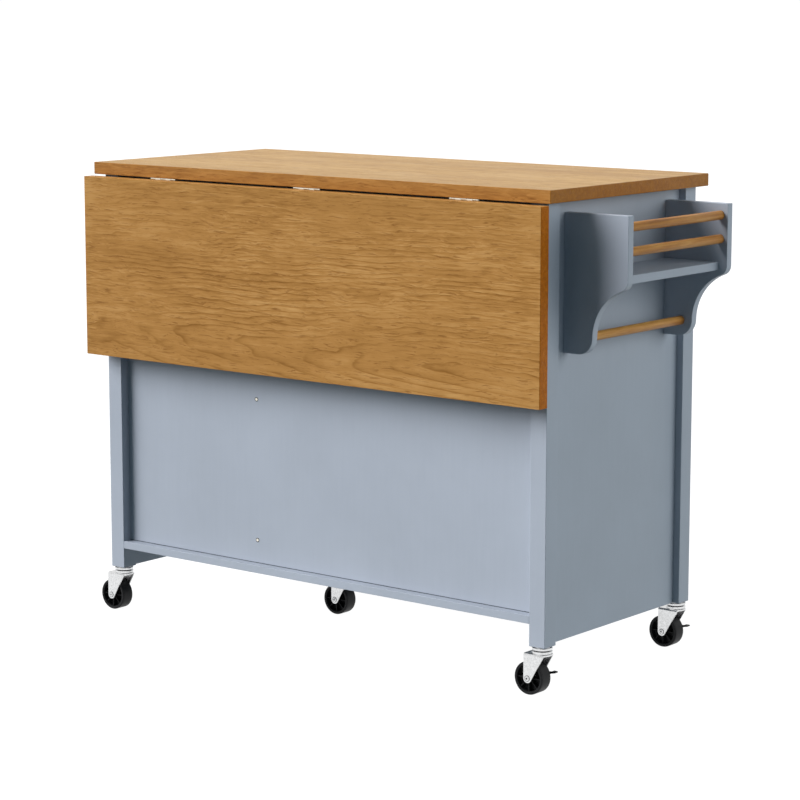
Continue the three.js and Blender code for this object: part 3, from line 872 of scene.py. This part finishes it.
def wheel_side(radius, hub_half, half):
    """Half of a wheel's section, from its bore to the middle of the tread."""
    bore, hub, web, rim, edge = (WHEEL[key] for key in ("bore", "hub", "web", "rim", "edge"))
    side = [(bore, hub_half - 0.6 * MM), (bore + 0.6 * MM, hub_half), (hub - 0.6 * MM, hub_half),
            (hub, hub_half - 0.6 * MM), (hub + 0.5 * MM, web + 1 * MM), (hub + 1.5 * MM, web),
            (rim - 2 * MM, web), (rim - 0.8 * MM, web + 1.2 * MM), (rim, half - 1.2 * MM),
            (rim + 0.5 * MM, half - 0.5 * MM), (rim + 1.2 * MM, half - 0.3 * MM),
            (radius - edge - 0.8 * MM, half)]
    side += arc((radius - edge, half - edge), edge, 90, 10, 5)
    return side + [(radius, half * 0.55), (radius, 0.0)]


def caster_wheel(unit, axle):
    """A moulded wheel, and the ribs between its hub and its rim."""
    low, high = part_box(f"caster_wheel_{unit}")
    radius, hub_half = (high.z - low.z) / 2, (high.y - low.y) / 2
    half = hub_half - WHEEL["narrower"]
    side = wheel_side(radius, hub_half, half)
    mesh = bmesh.new()
    add_turned(mesh, side + [(r, -y) for r, y in reversed(side[:-1])], axle, "Y", 72, closed=True)
    shade(make_piece(f"caster_tyre_{unit}", mesh, f"wheel_{unit}", "wheel_plastic",
                     replaces=[f"caster_wheel_{unit}"]), 28)

    hub, rim = WHEEL["hub"], WHEEL["rim"]
    size = Vector((rim - hub + 0.8 * MM, 2 * (half - WHEEL["rib_sunk"]), WHEEL["rib"]))
    rib = Matrix.Translation(((hub + rim) / 2, 0.0, 0.0)) @ Matrix.Diagonal((*size, 1.0))
    mesh = bmesh.new()
    for i in range(WHEEL["ribs"]):
        turn = Matrix.Rotation(2 * math.pi * i / WHEEL["ribs"] + math.pi / 2, 4, "Y")
        bmesh.ops.create_cube(mesh, size=1.0, matrix=Matrix.Translation(axle) @ turn @ rib)
    soften(make_piece(f"caster_ribs_{unit}", mesh, f"wheel_{unit}", "wheel_plastic"), 0.4 * MM, 2)


def brake_lever(unit, axle):
    """A flat arm from the axle, with a foot tab across its end."""
    name = f"brake_lever_{unit}"
    low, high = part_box(name)
    blade, foot_x, tip_z = LEVER["blade"], low.x + LEVER["foot"], axle.z + LEVER["rise"]
    tip = (low.x + blade / 2, tip_z)
    slope = math.degrees(math.atan2(LEVER["rise"], axle.x - low.x))
    arm = arc((axle.x, axle.z), LEVER["hub"], -90 - slope, 90 - slope, 16)
    arm += arc(tip, blade / 2, 90, 250, 6) + [(foot_x, tip_z - blade)]
    tab = arc(tip, blade / 2, 90, 270, 8) + arc((foot_x - blade / 2, tip_z), blade / 2, 270, 450, 8)
    mesh = bmesh.new()
    add_plate(mesh, arm, "Y", high.y - LEVER["arm"], high.y)
    add_plate(mesh, tab, "Y", low.y, high.y)
    soften(make_piece(f"{name}_arm", mesh, f"brake_{unit}", "lever_plastic", replaces=[name]), 0.5 * MM, 2)


for unit in CASTERS:
    swivel = Vector(JOINTS[f"caster_{unit}_swivel"]["pos_m"])
    axle = Vector(JOINTS[f"wheel_{unit}_spin"]["pos_m"])
    caster_mount(unit, swivel)
    caster_fork(unit, swivel, axle)
    caster_wheel(unit, axle)
    if unit in BRAKED:
        brake_lever(unit, axle)


# ---- small fasteners ----

PANEL_SCREW = {"heights": (194 * MM, 474 * MM), "head": 3 * MM, "dome": 1 * MM}
PANEL_RIM_SHADE = in_mm([(3.1, -0.1), (4.4, -0.1), (4.4, 0.15), (3.1, 0.25)])
PANEL_JOINT_SHADOW = {"sunk": 0.2 * MM, "proud": 0.5 * MM, "tall": 1.4 * MM}


def panel_screws():
    """Two screws through the back panel into the divider, each in a dark rim: painted shade in its
    countersink.
    """
    x, y = centre_of("divider").x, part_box("back_panel")[1].y
    mesh, rim = bmesh.new(), bmesh.new()
    for z in PANEL_SCREW["heights"]:
        add_screw(mesh, (x, y, z), "Y", 1, PANEL_SCREW["head"], PANEL_SCREW["dome"])
        add_turned(rim, PANEL_RIM_SHADE, (x, y, z), "Y", 28, closed=True)
    shade(make_piece("back_panel_screws", mesh, "cart", "hinge_steel"))
    shade(make_piece("back_panel_screw_shade_rims", rim, "cart", "hinge_steel", material="dark_steel"))


def panel_joint_shadow_strip():
    """A dark strip where the back panel stands on the bottom board: painted shadow in the gap at the
    panel's foot.
    """
    low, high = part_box("back_panel")
    mesh = bmesh.new()
    add_box(mesh, (low.x, high.y - PANEL_JOINT_SHADOW["sunk"], low.z),
            (high.x, high.y + PANEL_JOINT_SHADOW["proud"], low.z + PANEL_JOINT_SHADOW["tall"]))
    make_piece("back_panel_joint_shadow", mesh, "cart", "paint", material="joint_shadow")


panel_screws()
panel_joint_shadow_strip()


# ---- door hinges and drawer runners ----

DOOR_HINGE = {"radius": 2.7 * MM, "tall": 17 * MM, "apart": 0.4 * MM, "edge": 0.4 * MM, "inset": 92 * MM}
DOOR_TIP = in_mm([(0, 0), (1.5, 0), (2.1, 1), (1.7, 2), (0, 2.6)])
RUNNER = {"lift": 62 * MM, "front": 6 * MM, "rear": 4 * MM, "wall": 1.1 * MM, "edge": 0.3 * MM}


def door_hinges(side):
    """Two hinges on a door's edge: three knuckles each about the joint's own axis."""
    axis = Vector(JOINTS[f"door_{side}_open"]["pos_m"])
    low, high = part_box(f"door_{side}")
    tall, inset = DOOR_HINGE["tall"], DOOR_HINGE["inset"]
    knuckle = rounded(0.0, 0.0, DOOR_HINGE["radius"], tall - DOOR_HINGE["apart"], DOOR_HINGE["edge"])
    fixed, moving = bmesh.new(), bmesh.new()
    for z in (low.z + inset, high.z - inset):
        for step, mesh in ((-1.5, fixed), (-0.5, moving), (0.5, fixed)):
            add_turned(mesh, knuckle, (axis.x, axis.y, z + step * tall), "Z", 24)
        add_pair(fixed, DOOR_TIP, (axis.x, axis.y, z), 1.5 * tall, "Z", 20)
    shade(make_piece(f"door_knuckles_fixed_{side}", fixed, "cart", "knob_nickel"))
    shade(make_piece(f"door_knuckles_moving_{side}", moving, f"door_{side}_body", "knob_nickel"))


def channel(depth, half, wall):
    """The outline of a C-shaped runner, as (distance from its web's back, height about its middle)."""
    return [(0.0, -half), (depth, -half), (depth, wall - half), (wall, wall - half),
            (wall, half - wall), (depth, half - wall), (depth, half), (0.0, half)]


def drawer_runners(level):
    """A channel on each side of the drawer box, and one on the cart facing it."""
    low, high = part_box(f"drawer_box_{level}")
    left_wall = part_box("divider")[1].x
    right_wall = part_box("post_front_right")[0].x
    z = low.z + RUNNER["lift"]
    fixed, moving = bmesh.new(), bmesh.new()
    for mesh, depth, half, places in (
        (fixed, 6 * MM, 19 * MM, ((left_wall, 1), (right_wall, -1))),
        (moving, 5 * MM, 14 * MM, ((low.x, -1), (high.x, 1))),
    ):
        for x, sign in places:
            outline = [(x + sign * away, z + up) for away, up in channel(depth, half, RUNNER["wall"])]
            add_plate(mesh, outline, "Y", low.y + RUNNER["front"], high.y - RUNNER["rear"])
    for kind, mesh, body in (("fixed", fixed, "cart"), ("moving", moving, f"drawer_{level}")):
        soften(make_piece(f"drawer_runners_{kind}_{level}", mesh, body, "zinc"), RUNNER["edge"], 2)


for side in SIDES:
    door_hinges(side)
for level in LEVELS:
    drawer_runners(level)


# ---- floor, light and camera ----

FLOOR = {"reach": 60.0, "colour": (0.10, 0.12), "glow": (0.97, 1.0), "gloss": 0.1, "rough": 0.9}


def greys(tree, value, darkest, palest):
    return ramp(tree, value, [(0.0, (darkest,) * 3), (1.0, (palest,) * 3)])


def floor_material():
    """A dark surface with a white glow, so that it is seen white but lights the cart little."""
    material, tree, shader = new_material("floor")
    mottle = noise(tree, object_point(tree), 3.0)
    put(tree, shader.inputs["Base Color"], greys(tree, mottle, *FLOOR["colour"]))
    put(tree, shader.inputs["Emission Color"], greys(tree, mottle, *FLOOR["glow"]))
    shader.inputs["Emission Strength"].default_value = 1.0
    shader.inputs["Specular IOR Level"].default_value = FLOOR["gloss"]
    shader.inputs["Roughness"].default_value = FLOOR["rough"]
    return material


def make_floor():
    """A wide white floor, which stays pale in the cart's shadow."""
    reach = FLOOR["reach"]
    mesh = bmesh.new()
    signs = ((-1, -1), (1, -1), (1, 1), (-1, 1))
    mesh.faces.new([mesh.verts.new((x * reach, y * reach, 0.0)) for x, y in signs])
    data = bpy.data.meshes.new("floor")
    mesh.to_mesh(data)
    mesh.free()
    data.materials.append(floor_material())
    floor = bpy.data.objects.new("floor", data)
    bpy.context.scene.collection.objects.link(floor)
    floor.visible_diffuse = False


def add_sun(name, turn, height, strength, spread, colour=(1.0, 1.0, 1.0)):
    """A soft distant light. turn is degrees from +Y towards +X, height is degrees above the floor."""
    data = bpy.data.lights.new(name, "SUN")
    data.energy = strength
    data.color = colour
    data.angle = math.radians(spread)
    light = bpy.data.objects.new(name, data)
    turn, height = math.radians(turn), math.radians(height)
    level = math.cos(height)
    towards = Vector((math.sin(turn) * level, math.cos(turn) * level, math.sin(height)))
    light.rotation_euler = towards.to_track_quat("Z", "Y").to_euler()
    light.visible_glossy = False
    bpy.context.scene.collection.objects.link(light)


def make_world(seen, ambient):
    """A white studio where it is seen or mirrored, and a faint cool light on matt surfaces."""
    world = bpy.data.worlds.new("studio")
    world.use_nodes = True
    tree = world.node_tree
    diffuse = tree.nodes.new("ShaderNodeLightPath").outputs["Is Diffuse Ray"]
    colour = mixed(tree, "MIX", diffuse, (seen,) * 3, ambient)
    put(tree, tree.nodes["Background"].inputs["Color"], colour)
    bpy.context.scene.world = world


CAMERA = {"azimuth": 218.57, "elevation": 9.17, "roll": 0.03, "distance": 5.239, "lens": 119.376,
          "sensor": 36.0, "sees": 200.0, "aim_right": 14.4 * MM, "aim_up": 1.0 * MM}


def make_camera():
    """The camera stands behind the cart, to the left of its rack end, a little above it."""
    azimuth, elevation = math.radians(CAMERA["azimuth"]), math.radians(CAMERA["elevation"])
    level = math.cos(elevation)
    back = Vector((math.sin(azimuth) * level, -math.cos(azimuth) * level, math.sin(elevation)))
    right = Vector((math.cos(azimuth), math.sin(azimuth), 0.0))
    up = back.cross(right)
    middle = (top_low + top_high) / 2
    aim = Vector((middle.x, middle.y, top_high.z / 2))
    aim += right * CAMERA["aim_right"] + up * CAMERA["aim_up"]
    data = bpy.data.cameras.new("camera")
    data.lens = CAMERA["lens"]
    data.sensor_width = CAMERA["sensor"]
    data.clip_end = CAMERA["sees"]
    camera = bpy.data.objects.new("camera", data)
    turn = Matrix((right, up, back)).transposed().to_4x4()
    roll = Matrix.Rotation(math.radians(CAMERA["roll"]), 4, "Z")
    camera.matrix_world = Matrix.Translation(aim + back * CAMERA["distance"]) @ turn @ roll
    bpy.context.scene.collection.objects.link(camera)
    bpy.context.scene.camera = camera


make_floor()
make_world(1.02, (0.060, 0.104, 0.122))
add_sun("key", turn=46, height=29, strength=4.5, spread=44)
add_sun("top", turn=97, height=44, strength=1.4, spread=34)
add_sun("side", turn=242, height=9, strength=2.1, spread=60, colour=(0.955, 1.0, 0.995))
make_camera()
bpy.context.scene.view_settings.view_transform = "Standard"
